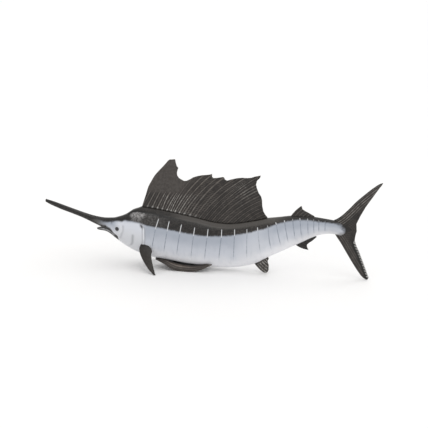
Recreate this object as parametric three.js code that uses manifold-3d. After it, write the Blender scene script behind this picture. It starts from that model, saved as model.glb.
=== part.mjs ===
// A moulded plastic sailfish figurine, standing on its pectoral tips, pelvic fins and lower tail lobe.
// Millimetres, +Z up. The bill points along -X, and the fish's left side faces -Y.
// Lengthwise places are given as s, the distance back from just behind the bill's blunt nose.

import * as THREE from 'three';
import { mergeVertices } from 'three/addons/utils/BufferGeometryUtils.js';
import Module from 'manifold-3d';

const wasm = await Module();
wasm.setup();
const { clamp, degToRad, lerp, smoothstep } = THREE.MathUtils;

// Overall sizes
const LENGTH = 202.5;
const NOSE = 0.5;
const GAP = 0.3;
const SINK = 1.1;

// Body outline in side view, as [s, z]
const BACK = [
  [0, 37.5], [5, 36.3], [12, 34.25], [18.7, 32.25], [25.5, 30.3], [31.8, 28.95], [37, 28.4], [42.2, 28.7],
  [46, 29.7], [50.5, 31.6], [52.8, 33.2], [55.3, 34.8], [57.8, 35.75], [61, 36.8], [68, 36.2],
  [76.5, 35.0], [85, 33.5], [94, 31.8], [105, 29.6], [112, 29.2], [118, 29.8], [128, 31.85],
  [136, 33.65], [140, 34.25], [143, 34.7], [150, 35.8], [157, 36.1], [162.5, 35.95], [170, 35.25],
  [175, 34.6], [180, 33.0], [184.5, 31.2],
];
const BELLY = [
  [0, 35.6], [2.4, 34.4], [5, 33.4], [10.2, 31.65], [17.1, 29.6], [23.8, 27.4], [29, 25.3], [33, 24.0],
  [38, 22.7], [41.4, 21.4], [44, 19.6], [46.3, 17.8], [49, 14.6], [52.2, 11.5], [55, 9.7], [58.3, 8.4],
  [66.3, 6.2], [69.5, 5.3], [76.6, 4.7], [89.5, 3.0], [102.3, 2.0], [113.7, 2.2], [121, 3.3], [128, 5.2],
  [137, 10.1], [145, 14.3], [153.8, 18.95], [164.6, 24.6], [169, 26.0], [172, 26.5], [175.4, 26.4],
  [178.5, 25.7], [180.8, 26.5], [182.6, 28.2], [184.5, 29.4],
];
const HALF_WIDTH = [
  [0, 0.9], [9, 1.35], [19, 1.65], [28.5, 2.1], [36, 2.8], [41, 3.7], [45, 4.5], [52, 5.8], [60, 6.8],
  [75, 7.2], [90, 7.0], [105, 6.8], [128, 6.0], [140, 5.2], [154, 4.0], [165, 3.0], [175, 2.1],
  [180, 1.4], [184.5, 0.9],
];
const WIDEST_LEVEL = 0.52;
const FULLNESS = 2.2;
const BLUNTNESS = [[-NOSE, 0.35], [-0.3, 0.8], [0, 1]];

// Bend of the middle plane, sideways: the head turns to the right and the tail to the left
const HEAD_BEND = { from: 94, reach: 90, shift: 4.0 };
const TAIL_BEND = { from: 104, reach: 100, shift: -4.0 };

// Raised lip along both sides of the sail's groove
const LIP_HEIGHT = [
  [50, 0], [53, 0.5], [56, 1.3], [61, 1.8], [76, 1.6], [94, 1.2], [115, 1.0], [130, 0.8], [139, 0],
];
const LIP_TOP = 1.9;
const LIP_FOOT = 2.8;

// Joins between the lengths of the body
const BILL_END = 37;
const TRUNK_END = 140;
const GILL_EDGE = [
  [58.4, 42], [59.3, 36.8], [60.4, 32.5], [61.9, 28], [62.7, 24], [62.7, 19], [62.0, 15], [60.6, 11],
  [58.6, 4],
];

// Lower jaw, as [s, z] of its rim and of its keel, and [s, half width]
const JAW_RIM = [[31.9, 21.7], [34, 22.1], [37.5, 22.0], [41, 20.9], [44, 18.9], [46.3, 17.2], [53, 14.0]];
const JAW_KEEL = [
  [31.9, 20.8], [34, 20.5], [36.5, 20.3], [40.8, 18.6], [44.1, 16.2], [47.4, 14.0], [53, 11.6],
];
const JAW_HALF_WIDTH = [[31.9, 0.5], [34, 1.1], [38, 2.0], [42, 2.9], [46, 3.7], [53, 4.6]];
const JAW_BACK = 46.2;

// Eyes
const EYE = { s: 46.1, z: 23.25, radius: 2.1, depth: 1.5, bulge: 0.45, turn: 0.2 };

// Sail: where each ray is rooted, the leading edge as [s, z], and the margin as [ray, s, z]
const SAIL_ROOTS = [
  60.4, 63.6, 66.7, 69.8, 72.8, 75.7, 78.1, 80.5, 83.0, 85.9, 89.4, 92.7, 95.3, 97.7, 100.1, 102.6, 105.3,
  108.4, 111.9, 115.6, 119.4, 123.3, 127.2, 131.3, 135.6,
];
const SAIL_RAYS = SAIL_ROOTS.length - 1;
const SAIL_FOOT_HALF = 0.7;
const SAIL_FOOT_DEPTH = 1.1;
const SAIL_BOW = 0.05;
const SAIL_LEADING = [
  [60.4, 36.8], [61.8, 41.0], [63.0, 44.6], [64.5, 49.2], [66.5, 52.9], [68.4, 56.1], [70.7, 58.85],
  [73.1, 61.45], [75.1, 63.65], [76.6, 65.5],
];
const SAIL_MARGIN = [
  [0, 76.6, 65.5], [0.5, 77.6, 66.25], [1, 79.0, 66.35], [1.75, 80.9, 66.6], [2.5, 81.4, 64.1],
  [3, 81.9, 62.4], [3.5, 82.8, 61.4], [4, 82.25, 59.8], [4.25, 81.95, 58.2], [4.5, 82.7, 56.0],
  [4.75, 84.6, 54.5], [5, 86.1, 53.75], [5.5, 88.4, 54.3], [6, 90.7, 55.5], [6.5, 94.3, 57.0],
  [7, 98.0, 57.75], [7.5, 100.8, 58.1], [8, 102.8, 58.65], [8.25, 102.9, 57.2], [8.5, 103.7, 56.2],
  [9, 105.9, 56.4], [10, 109.8, 57.1], [10.25, 110.6, 55.6], [10.5, 112.2, 55.15], [11, 115.7, 56.25],
  [11.5, 119.2, 57.0], [12, 122.5, 57.1], [13, 126.5, 57.55], [13.5, 128.6, 58.25], [14, 131.6, 59.05],
  [14.25, 131.2, 57.6], [14.5, 129.9, 56.3], [15, 128.9, 53.4], [15.5, 129.3, 51.6], [16.5, 130.5, 48.4],
  [17, 131.5, 46.9], [18, 132.5, 44.3], [19.5, 132.7, 40.9], [21, 133.3, 37.9], [22, 134.4, 36.0],
  [24, 135.9, 34.6],
];

// Other fins in the middle plane: the s of the first and last ray's root, and the margin as [ray, s, z]
const SECOND_DORSAL = {
  rays: 6, root: [148.8, 163.0], half: [0.75, 0.35], bow: 0.05, lean: 0,
  margin: [
    [0, 155.6, 42.2], [0.5, 156.0, 41.3], [1, 156.3, 40.2], [2, 157.8, 39.25], [3, 159.5, 38.45],
    [4.5, 161.6, 37.3], [6, 163.4, 36.4],
  ],
};
const FIRST_ANAL = {
  rays: 6, root: [127.7, 136.2], half: [0.8, 0.4], bow: -0.05, lean: -1.8,
  margin: [
    [0, 133.8, 0.8], [0.5, 134.9, 0.45], [1, 136.2, 0.65], [2, 137.1, 2.2], [3.5, 137.2, 5.3],
    [4.5, 136.6, 7.0], [5, 136.5, 7.9], [6, 137.2, 9.5],
  ],
};
const SECOND_ANAL = {
  rays: 6, root: [151.8, 163.9], half: [0.75, 0.35], bow: -0.08, lean: 0,
  margin: [
    [0, 160.2, 15.8], [0.5, 160.0, 16.4], [1, 159.4, 17.5], [2, 159.3, 18.8], [3, 160.4, 20.0],
    [4, 162.2, 21.3], [6, 165.0, 24.0],
  ],
};

// Tail lobes: leading edge, margin, and where the last ray is rooted, all from the outline of the fork
const TAIL_RAYS = 8;
const TAIL_HALF = [0.75, 0.4];
const FORK = { s: 188.05, z: 29.3 };
const UPPER_LOBE = {
  rootEnd: [184.0, 29.9 + GAP / 2],
  edge: [
    [174.3, 34.5], [178.3, 37.1], [183.0, 41.8], [187.6, 47.0], [194.4, 53.4], [199.2, 57.3], [202, 58.7],
  ],
  margin: [
    [0, 202, 58.7], [0.5, 201.5, 57.3], [1, 200.3, 55.7], [2, 197.35, 51.1], [4, 192.75, 43.9],
    [5.5, 189.7, 37.9], [6.5, 187.8, 33.7], [7, 187.85, 32.0], [8, FORK.s, FORK.z + GAP / 2],
  ],
};
const LOWER_LOBE = {
  rootEnd: [184.0, 29.9 - GAP / 2],
  edge: [
    [174.4, 28.4], [176.4, 25.0], [179.1, 21.1], [183.5, 13.9], [187.8, 7.1], [191.6, 2.0], [194.3, -0.4],
  ],
  margin: [
    [0, 194.3, -0.4], [0.5, 195.7, 0.8], [3, 193.4, 7.6], [4, 191.8, 11.4], [5, 189.7, 16.8],
    [6, 188.0, 20.5], [6.5, 187.2, 22.8], [7.5, 187.5, 27.0], [8, FORK.s, FORK.z - GAP / 2],
  ],
};

// Paired fins, left side: the two edges as [s, y, z] from root to tip, and how far the middle arches out
const PECTORAL = {
  front: [
    [60.6, -4.8, 15.1], [60.1, -7.0, 12.5], [61.4, -9.2, 9.4], [64.2, -12.0, 5.8], [67.5, -14.6, 2.5],
    [71.0, -17.0, -0.4],
  ],
  rear: [
    [65.6, -4.8, 14.3], [67.8, -7.0, 12.2], [68.0, -9.6, 9.9], [69.0, -12.0, 6.5], [70.4, -14.4, 3.4],
    [72.1, -17.0, -0.4],
  ],
  half: [1.15, 0.45], arch: 0, columns: 8, rows: 10,
};
const PELVIC = {
  front: [
    [69.0, -3.2, 5.8], [71.6, -5.0, 5.1], [75.2, -6.4, 3.7], [78.8, -7.1, 1.75], [82.4, -7.35, 0.4],
    [87.0, -7.4, -0.2], [91.4, -7.6, 0.1], [95.4, -7.2, 1.0], [99.2, -6.7, 2.4], [103.7, -6.2, 4.8],
  ],
  rear: [
    [69.4, -2.6, 5.6], [72.3, -2.0, 5.2], [76.4, -1.6, 4.8], [80.2, -1.4, 4.3], [84.0, -1.4, 3.8],
    [87.8, -1.6, 3.5], [92.2, -2.2, 3.4], [96.4, -3.2, 3.7], [100.2, -4.2, 4.35], [103.8, -5.9, 4.9],
  ],
  half: [0.75, 0.45], arch: 0.6, columns: 6, rows: 20,
};
const RIDGE = 0.14;

const charcoal = () => new THREE.MeshStandardMaterial({ color: 0x3b3735, roughness: 0.45, metalness: 0 });
const silver = () => new THREE.MeshStandardMaterial({ color: 0xb7c0cc, roughness: 0.4, metalness: 0 });
const glossBlack = () => new THREE.MeshStandardMaterial({ color: 0x15161a, roughness: 0.15, metalness: 0 });

// A smooth function through the given points, with no overshoot between them
function smooth(points) {
  const last = points.length - 1;
  const slope = points.slice(1).map((p, k) => (p[1] - points[k][1]) / (p[0] - points[k][0]));
  const tangent = points.map((p, k) => {
    if (k === 0) return slope[0];
    if (k === last) return slope[last - 1];
    const [a, b] = [slope[k - 1], slope[k]];
    return a * b <= 0 ? 0 : (2 * a * b) / (a + b);
  });
  return (s) => {
    const x = clamp(s, points[0][0], points[last][0]);
    const found = points.findIndex((p, k) => k > 0 && x <= p[0]);
    const k = Math.max(found, 1) - 1;
    const width = points[k + 1][0] - points[k][0];
    const t = (x - points[k][0]) / width;
    const [t2, t3] = [t * t, t * t * t];
    return (2 * t3 - 3 * t2 + 1) * points[k][1] + (t3 - 2 * t2 + t) * width * tangent[k]
      + (3 * t2 - 2 * t3) * points[k + 1][1] + (t3 - t2) * width * tangent[k + 1];
  };
}

// A point on the straight lines through [ray, s, z] points, for any ray
function alongMargin(margin, ray) {
  const k = Math.max(margin.findIndex((p, index) => index > 0 && ray <= p[0]), 1) - 1;
  const t = (ray - margin[k][0]) / (margin[k + 1][0] - margin[k][0]);
  return new THREE.Vector2(lerp(margin[k][1], margin[k + 1][1], t), lerp(margin[k][2], margin[k + 1][2], t));
}

const back = smooth(BACK);
const belly = smooth(BELLY);
const halfWidth = smooth(HALF_WIDTH);
const lipHeight = smooth(LIP_HEIGHT);
const bluntness = smooth(BLUNTNESS);
const toX = (s) => s + NOSE - LENGTH / 2;

// Sideways place of the middle plane
function middle(s) {
  const head = Math.max(0, (HEAD_BEND.from - s) / HEAD_BEND.reach);
  const tail = Math.max(0, (s - TAIL_BEND.from) / TAIL_BEND.reach);
  return HEAD_BEND.shift * head * head + TAIL_BEND.shift * tail * tail;
}

function signedVolume(positions, triangles) {
  const corner = (id) => new THREE.Vector3().fromArray(positions, 3 * id);
  let volume = 0;
  for (let k = 0; k < triangles.length; k += 3) {
    const [a, b, c] = [corner(triangles[k]), corner(triangles[k + 1]), corner(triangles[k + 2])];
    volume += a.dot(b.cross(c)) / 6;
  }
  return volume;
}

// A solid from shared vertices and triangles, turned so that its faces point out
function solid(positions, triangles) {
  const outward = signedVolume(positions, triangles) > 0 ? triangles : [...triangles].reverse();
  return new wasm.Manifold(new wasm.Mesh({
    numProp: 3,
    vertProperties: new Float32Array(positions),
    triVerts: new Uint32Array(outward),
  }));
}

function solidOf(geometry) {
  const bare = geometry.clone();
  bare.deleteAttribute('normal');
  bare.deleteAttribute('uv');
  const merged = mergeVertices(bare, 1e-4);
  return solid(Array.from(merged.attributes.position.array), Array.from(merged.index.array));
}

// Skin over a row of closed rings, all with the same number of points
function loft(rings) {
  const count = rings[0].length;
  const positions = rings.flat().flatMap((p) => p.toArray());
  const triangles = [];
  for (let k = 0; k < rings.length - 1; k += 1) {
    for (let i = 0; i < count; i += 1) {
      const [a, b] = [k * count + i, k * count + (i + 1) % count];
      triangles.push(a, b, b + count, a, b + count, a + count);
    }
  }
  const lastRing = (rings.length - 1) * count;
  for (let i = 1; i < count - 1; i += 1) {
    triangles.push(0, i + 1, i, lastRing, lastRing + i, lastRing + i + 1);
  }
  return solid(positions, triangles);
}

// Angles of a ring's points on one side, from the belly to the back, closer together at the lip
const RING_ANGLES = [-90, -73, -56, -38, -19, 0, 19, 36, 50, 60, 66, 71, 77, 83, 90];

function superellipse(angle, power) {
  const radians = degToRad(angle);
  const bend = (value) => Math.sign(value) * Math.abs(value) ** (2 / power);
  return [bend(Math.cos(radians)), bend(Math.sin(radians))];
}

// One ring of the body at s, grown all round by extra
function bodyRing(s, extra) {
  const lip = lipHeight(s);
  const middleLevel = lerp(belly(s), back(s), WIDEST_LEVEL);
  const blunt = bluntness(s);
  const low = lerp(middleLevel, belly(s), blunt) - extra;
  const high = lerp(middleLevel, back(s) - lip, blunt) + extra;
  const level = lerp(low, high, WIDEST_LEVEL);
  const half = halfWidth(s) * blunt + extra;
  const side = RING_ANGLES.map((angle) => {
    const [across, up] = superellipse(angle, FULLNESS);
    const y = Math.max(half * across, 0);
    if (up <= 0) return [y, level + up * (level - low)];
    const lift = lip * (1 - smoothstep(y, LIP_TOP + extra, LIP_FOOT + extra));
    return [y, level + up * (high - level) + lift];
  });
  const ring = side.map(([y, z]) => new THREE.Vector3(toX(s), middle(s) + y, z));
  const mirrored = side.slice(1, -1).reverse().map(([y, z]) => new THREE.Vector3(toX(s), middle(s) - y, z));
  return [...ring, ...mirrored];
}

function range(from, to, step) {
  return Array.from({ length: Math.round((to - from) / step) + 1 }, (_, k) => from + k * step);
}
const STATIONS = [
  -NOSE, -0.3, 0, 1.2, 2.5, 5, 8.5, ...range(12, 36, 4), ...range(38, 62, 2), ...range(65, 137, 4),
  ...range(141, 174, 3), 176, 178, 179.5, 181, 182.5, 183.8, 184.5,
];

function bodySolid(extra) {
  const last = STATIONS.length - 1;
  const rings = STATIONS.map((s, k) => {
    const ring = bodyRing(s, extra);
    const reach = (k === last ? extra : 0) - (k === 0 ? extra : 0);
    return ring.map((p) => new THREE.Vector3(p.x + reach, p.y, p.z));
  });
  return loft(rings);
}

// The lower jaw: flat rim, rounded keel
function jawSolid(extra) {
  const [rim, keel, half] = [smooth(JAW_RIM), smooth(JAW_KEEL), smooth(JAW_HALF_WIDTH)];
  const angles = range(0, 180, 22.5);
  const rings = range(31.9, 52.9, 3).map((s) => {
    const [top, low, wide] = [rim(s) + extra, keel(s) - extra, half(s) + extra];
    return angles.map((angle) => {
      const radians = degToRad(angle);
      return new THREE.Vector3(
        toX(s), middle(s) + wide * Math.cos(radians), top - (top - low) * Math.sin(radians),
      );
    });
  });
  return loft(rings);
}

// A fin with half its thickness laid off each side of its middle surface.
// place(u, v) is a point there, u across the rays and v from root to margin. across lists the values of u.
// Both faces share one triangulation.
function blade({ place, half, across, rows, normal }) {
  const [near, far] = [[], []];
  const columns = across.length - 1;
  across.forEach((u) => {
    for (let k = 0; k <= rows; k += 1) {
      const v = k / rows;
      const offset = normal(u, v).multiplyScalar(half(u, v));
      near.push(place(u, v).sub(offset));
      far.push(place(u, v).add(offset));
    }
  });
  const size = near.length;
  const id = (i, k) => i * (rows + 1) + k;
  const triangles = [];
  for (let i = 0; i < columns; i += 1) {
    for (let k = 0; k < rows; k += 1) {
      const [a, b, c, d] = [id(i, k), id(i + 1, k), id(i + 1, k + 1), id(i, k + 1)];
      triangles.push(a, b, c, a, c, d);
      triangles.push(size + a, size + c, size + b, size + a, size + d, size + c);
    }
  }
  const rim = [
    ...range(0, columns - 1, 1).map((i) => id(i, 0)),
    ...range(0, rows - 1, 1).map((k) => id(columns, k)),
    ...range(0, columns - 1, 1).map((i) => id(columns - i, rows)),
    ...range(0, rows - 1, 1).map((k) => id(0, rows - k)),
  ];
  rim.forEach((p, k) => {
    const q = rim[(k + 1) % rim.length];
    triangles.push(q, p, size + p, q, size + p, size + q);
  });
  return solid([...near, ...far].flatMap((p) => p.toArray()), triangles);
}

const sideways = () => new THREE.Vector3(0, 1, 0);
const even = (count) => Array.from({ length: count + 1 }, (_, k) => k / count);

// Ridges stand on the whole rays, valleys lie between them
const ridge = (ray) => (Math.abs(ray - Math.round(ray)) < 1e-6 ? RIDGE : 0);

// A curve through [s, z] points, less its chord, at t by length
function sway(points, t) {
  const curve = new THREE.SplineCurve(points.map(([s, z]) => new THREE.Vector2(s, z)));
  return curve.getPointAt(t).sub(curve.getPoint(0).lerp(curve.getPoint(1), t));
}

// The sail, on a foot that sits in the groove of the back
function sailSolid() {
  const rows = 9;
  const rootAt = smooth(SAIL_ROOTS.map((s, ray) => [ray, s]));
  const place = (u, v) => {
    const ray = u * SAIL_RAYS;
    const root = new THREE.Vector2(rootAt(ray), back(rootAt(ray)));
    if (v === 0) return new THREE.Vector3(toX(root.x), middle(root.x), root.y - SAIL_FOOT_DEPTH);
    const t = (v * rows - 1) / (rows - 1);
    const chord = alongMargin(SAIL_MARGIN, ray).sub(root);
    const bow = SAIL_BOW * 4 * t * (1 - t) * smoothstep(ray, 0, 3);
    const lead = sway(SAIL_LEADING, t).multiplyScalar(clamp(1 - ray / 4, 0, 1) ** 1.5);
    const s = root.x + chord.x * t - chord.y * bow + lead.x;
    const z = root.y + chord.y * t + chord.x * bow + lead.y;
    return new THREE.Vector3(toX(s), middle(s), z);
  };
  const half = (u, v) => {
    const t = Math.max(0, (v * rows - 1) / (rows - 1));
    if (t === 0) return SAIL_FOOT_HALF;
    const shown = smoothstep(u * SAIL_RAYS, 6, 9);
    const fade = 1 - (1 - shown) * smoothstep(t, 0.3, 0.6);
    return lerp(SAIL_FOOT_HALF - RIDGE, 0.36, t) + ridge(u * SAIL_RAYS) * fade;
  };
  const rays = [...even(2 * SAIL_RAYS).map((u) => u * SAIL_RAYS), ...SAIL_MARGIN.map(([ray]) => ray)];
  const across = [...new Set(rays)].sort((a, b) => a - b).map((ray) => ray / SAIL_RAYS);
  return blade({ place, half, across, rows, normal: sideways });
}

// The groove that the sail's foot sits in
function grooveSolid() {
  const [front, rear] = [SAIL_ROOTS[0] - 2 * GAP, SAIL_ROOTS[SAIL_RAYS] + 2 * GAP];
  const place = (u, v) => {
    const s = lerp(front, rear, u);
    return new THREE.Vector3(toX(s), middle(s), back(s) + lerp(-SAIL_FOOT_DEPTH - GAP, 3, v));
  };
  const half = () => SAIL_FOOT_HALF + GAP;
  return blade({ place, half, across: even(SAIL_RAYS), rows: 1, normal: sideways });
}

// A small fin in the middle plane, rooted in the outline given by base(s)
function medianFin({ rays, root, half, bow, lean, margin }, base) {
  const place = (u, v) => {
    const start = new THREE.Vector2(lerp(root[0], root[1], u), 0);
    start.y = base(start.x);
    const chord = alongMargin(margin, u * rays).sub(start);
    const bulge = bow * 4 * v * (1 - v);
    const s = start.x + chord.x * v - chord.y * bulge;
    return new THREE.Vector3(toX(s), middle(s) + lean * v, start.y + chord.y * v + chord.x * bulge);
  };
  const thick = (u, v) => lerp(half[0], half[1], v) + ridge(u * rays) * v;
  return blade({ place, half: thick, across: even(2 * rays), rows: 4, normal: sideways });
}

// One lobe of the tail: the first ray follows the leading edge, the others fan out to the fork
function tailLobe({ rootEnd, edge, margin }) {
  const place = (u, v) => {
    const start = new THREE.Vector2(...edge[0]).lerp(new THREE.Vector2(...rootEnd), u);
    const straight = start.lerp(alongMargin(margin, u * TAIL_RAYS), v);
    const { x: s, y: z } = straight.add(sway(edge, v).multiplyScalar((1 - u) ** 2));
    return new THREE.Vector3(toX(s), middle(s), z);
  };
  const half = (u, v) => lerp(TAIL_HALF[0], TAIL_HALF[1], v) + ridge(u * TAIL_RAYS) * Math.min(1, 2 * v);
  return blade({ place, half, across: even(2 * TAIL_RAYS), rows: 8, normal: sideways });
}

// A paired fin between its front and rear edges, full in the middle and thin at the edges
function pairedFin({ front, rear, half, arch, columns, rows }, side) {
  const edgeCurve = (edge) => new THREE.CatmullRomCurve3(
    edge.map(([s, y, z]) => new THREE.Vector3(toX(s), -side * y, z)), false, 'centripetal',
  );
  const [frontEdge, rearEdge] = [edgeCurve(front), edgeCurve(rear)];
  const flat = (u, v) => frontEdge.getPoint(v).lerp(rearEdge.getPoint(v), u);
  const normal = (u, v) => {
    const inner = Math.min(v, 0.95);
    const across = rearEdge.getPoint(inner).sub(frontEdge.getPoint(inner));
    const along = flat(u, Math.min(v + 0.03, 1)).sub(flat(u, Math.max(v - 0.03, 0)));
    return across.cross(along).normalize();
  };
  const place = (u, v) => {
    const width = frontEdge.getPoint(v).distanceTo(rearEdge.getPoint(v));
    const out = side * arch * Math.sin(Math.PI * u) * clamp(width / 5, 0, 1);
    return flat(u, v).addScaledVector(normal(u, v), out);
  };
  const thick = (u, v) => lerp(half[0], half[1], v) * lerp(0.4, 1, Math.sqrt(Math.sin(Math.PI * u)));
  return blade({ place, half: thick, across: even(columns), rows, normal });
}

function eyeSolid(side, extra) {
  const { s, z, radius, depth, bulge, turn } = EYE;
  const ball = new THREE.SphereGeometry(1, 16, 10);
  ball.scale(radius + extra, depth + extra, radius + extra);
  ball.rotateZ(side * turn);
  ball.translate(toX(s), middle(s) + side * (halfWidth(s) - depth + bulge), z);
  return solidOf(ball);
}

// A wide block that fills an outline of [s, z] points
function block(outline) {
  const shape = new THREE.Shape(outline.map(([s, z]) => new THREE.Vector2(toX(s), z)));
  const geometry = new THREE.ExtrudeGeometry(shape, { depth: 60, bevelEnabled: false });
  geometry.translate(0, 0, -30);
  geometry.rotateX(Math.PI / 2);
  return solidOf(geometry);
}

const span = (from, to) => block([[from, -9], [to, -9], [to, 70], [from, 70]]);
const shifted = (outline, ds) => outline.map(([s, z]) => [s + ds, z]);
const underFloor = block([[-9, -9], [LENGTH + 9, -9], [LENGTH + 9, 0], [-9, 0]]);

// Body, with the lower jaw joined, the groove and the eye sockets cut
const eyes = { left: eyeSolid(-1, 0), right: eyeSolid(1, 0) };
const sockets = eyeSolid(-1, GAP).add(eyeSolid(1, GAP));
const body = bodySolid(0).subtract(grooveSolid()).subtract(sockets);
const jaw = jawSolid(0);
const reach = bodySolid(GAP).add(jawSolid(GAP));

const [headFrom, trunkTo] = [BILL_END + GAP / 2, TRUNK_END - GAP / 2];
const aheadOfGills = block([[headFrom, 50], [headFrom, -9], ...shifted(GILL_EDGE, -GAP / 2).reverse()]);
const behindGills = block([...shifted(GILL_EDGE, GAP / 2).reverse(), [trunkTo, 50], [trunkTo, -9]]);
const head = body.intersect(aheadOfGills).add(jaw.intersect(span(JAW_BACK + GAP / 2, 60)));

const fins = {
  second_dorsal_fin: medianFin(SECOND_DORSAL, (s) => back(s) - SINK),
  first_anal_fin: medianFin(FIRST_ANAL, (s) => belly(s) + SINK),
  second_anal_fin: medianFin(SECOND_ANAL, (s) => belly(s) + SINK),
  caudal_fin_upper: tailLobe(UPPER_LOBE),
  caudal_fin_lower: tailLobe(LOWER_LOBE),
  pectoral_fin_left: pairedFin(PECTORAL, -1),
  pectoral_fin_right: pairedFin(PECTORAL, 1),
  pelvic_fin_left: pairedFin(PELVIC, -1),
  pelvic_fin_right: pairedFin(PELVIC, 1),
};

const figurine = new THREE.Group();
figurine.name = 'sailfish_figurine';

// Adds a solid's largest closed piece to the figurine
function addNode(name, shape, material) {
  const pieces = shape.decompose().sort((a, b) => b.volume() - a.volume());
  const { vertProperties, triVerts } = pieces[0].getMesh();
  const geometry = new THREE.BufferGeometry();
  geometry.setAttribute('position', new THREE.BufferAttribute(new Float32Array(vertProperties), 3));
  geometry.setIndex(new THREE.BufferAttribute(new Uint32Array(triVerts), 1));
  geometry.computeVertexNormals();
  const mesh = new THREE.Mesh(geometry, material);
  mesh.name = name;
  figurine.add(mesh);
}

addNode('bill', body.intersect(span(-9, BILL_END - GAP / 2)), charcoal());
addNode('lower_jaw', jaw.intersect(span(-9, JAW_BACK - GAP / 2)), silver());
addNode('head', head, silver());
addNode('trunk', body.intersect(behindGills), silver());
addNode('tail_stalk', body.intersect(span(TRUNK_END + GAP / 2, LENGTH)), silver());
addNode('sail', sailSolid(), charcoal());
Object.entries(fins).forEach(([name, fin]) => {
  addNode(name, fin.subtract(reach).subtract(underFloor), charcoal());
});
Object.entries(eyes).forEach(([side, eye]) => addNode(`eye_${side}`, eye, glossBlack()));

export default figurine;
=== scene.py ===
"""Looks of a moulded plastic sailfish figurine that stands on its pectoral and pelvic fins and its tail.

Shapes are worked out in millimetres from the same outlines as the solids, more finely, and lie where they do.
s is the distance back from just behind the bill's blunt nose, y points to the fish's right and z up.
"""

import math

import bmesh
import bpy
import numpy as np
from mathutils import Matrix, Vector


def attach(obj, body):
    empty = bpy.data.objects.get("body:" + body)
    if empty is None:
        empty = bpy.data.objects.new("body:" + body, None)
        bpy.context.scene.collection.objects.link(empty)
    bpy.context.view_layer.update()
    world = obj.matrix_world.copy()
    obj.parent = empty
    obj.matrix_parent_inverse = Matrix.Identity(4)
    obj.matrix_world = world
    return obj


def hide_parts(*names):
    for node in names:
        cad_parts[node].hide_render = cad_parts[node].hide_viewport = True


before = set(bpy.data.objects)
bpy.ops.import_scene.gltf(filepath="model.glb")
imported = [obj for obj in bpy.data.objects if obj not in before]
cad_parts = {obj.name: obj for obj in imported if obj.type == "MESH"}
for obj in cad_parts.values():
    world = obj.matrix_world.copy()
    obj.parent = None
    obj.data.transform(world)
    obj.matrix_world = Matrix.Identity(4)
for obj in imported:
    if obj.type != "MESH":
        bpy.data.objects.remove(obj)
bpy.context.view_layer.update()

MM = 0.001
WELD_DISTANCE = 0.002 * MM
LENGTH = 202.5
NOSE = 0.5

# Body outline in side view, as [s, z]
BACK = [
    [0, 37.5], [5, 36.3], [12, 34.25], [18.7, 32.25], [25.5, 30.3], [31.8, 28.95], [37, 28.4], [42.2, 28.7],
    [46, 29.7], [50.5, 31.6], [52.8, 33.2], [55.3, 34.8], [57.8, 35.75], [61, 36.8], [68, 36.2],
    [76.5, 35.0], [85, 33.5], [94, 31.8], [105, 29.6], [112, 29.2], [118, 29.8], [128, 31.85], [136, 33.65],
    [140, 34.25], [143, 34.7], [150, 35.8], [157, 36.1], [162.5, 35.95], [170, 35.2], [175, 34.55],
    [180, 33.0], [184.5, 31.2],
]
KEEL = [
    [0, 35.65], [2.4, 34.45], [5, 33.45], [10.2, 31.65], [17.1, 29.6], [23.8, 27.4], [29.6, 25.0], [33, 23.6],
    [36, 22.4], [38, 21.6], [41.4, 19.4], [44, 17.0], [46.3, 14.8], [49, 12.9], [52.2, 11.1], [55, 9.7],
    [58.3, 8.4], [66.3, 6.2], [69.5, 5.3], [73, 5.0], [76.6, 4.7], [89.5, 3.0], [102.3, 2.0], [113.7, 2.2],
    [121, 3.3], [128, 5.2], [137, 10.1], [145, 14.3], [153.8, 18.95], [164.6, 24.6], [169, 26.0],
    [172, 26.5], [175.4, 26.4], [178.5, 25.7], [180.8, 26.5], [182.6, 28.2], [184.5, 29.4],
]
HALF_WIDTH = [
    [0, 0.9], [9, 1.35], [19, 1.65], [28.5, 2.1], [36, 2.8], [41, 3.7], [45, 4.5], [52, 5.8], [60, 6.8],
    [75, 7.2], [90, 7.0], [105, 6.8], [128, 6.0], [140, 5.2], [154, 4.0], [165, 3.0], [175, 2.1],
    [180, 1.4], [184.5, 0.9],
]
WIDEST_LEVEL = 0.52
FULLNESS = 2.2
TAIL_END = 184.5
TAIL_ROUND = 1.2

# Sideways bend: the head turns right and the tail left, by BEND over each run
BEND = 4.0
HEAD_BEND_START, HEAD_BEND_RUN = 94, 90
TAIL_BEND_START, TAIL_BEND_RUN = 104, 100

# Lip and groove along the sail's foot
LIP_HEIGHT = [
    [50, 0], [53, 0.5], [56, 1.3], [61, 1.8], [76, 1.6], [94, 1.2], [115, 1.0], [130, 0.8], [139, 0],
]
LIP_TOP = 1.9
LIP_FOOT = 2.8
GROOVE_HALF = 0.95
GROOVE_DEPTH = 1.3

# Mouth: its end, the angle of its corner on the section, and its roof; then the lower jaw
MOUTH_END = 46.3
CORNER_ANGLE = math.radians(-34.8)
ROOF_START, ROOF_FULL = 35.5, 41.5
ROOF_ARCH = 0.5
JAW_TIP = 31.9
JAW_ROUND = 0.8
JAW_HOLLOW = 0.45
JAW_CLOSING = 44.5
JAW_RIM = [[31.9, 21.7], [34, 22.2], [36.5, 22.2], [38.5, 21.9], [41, 21.1], [44, 19.3]]
JAW_KEEL = [[31.9, 20.8], [34, 20.5], [36.5, 20.3], [38, 20.0], [40.8, 18.6], [44.1, 16.2]]
JAW_HALF_WIDTH = [[31.9, 0.5], [34, 1.1], [38, 2.0], [42, 2.9]]

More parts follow.
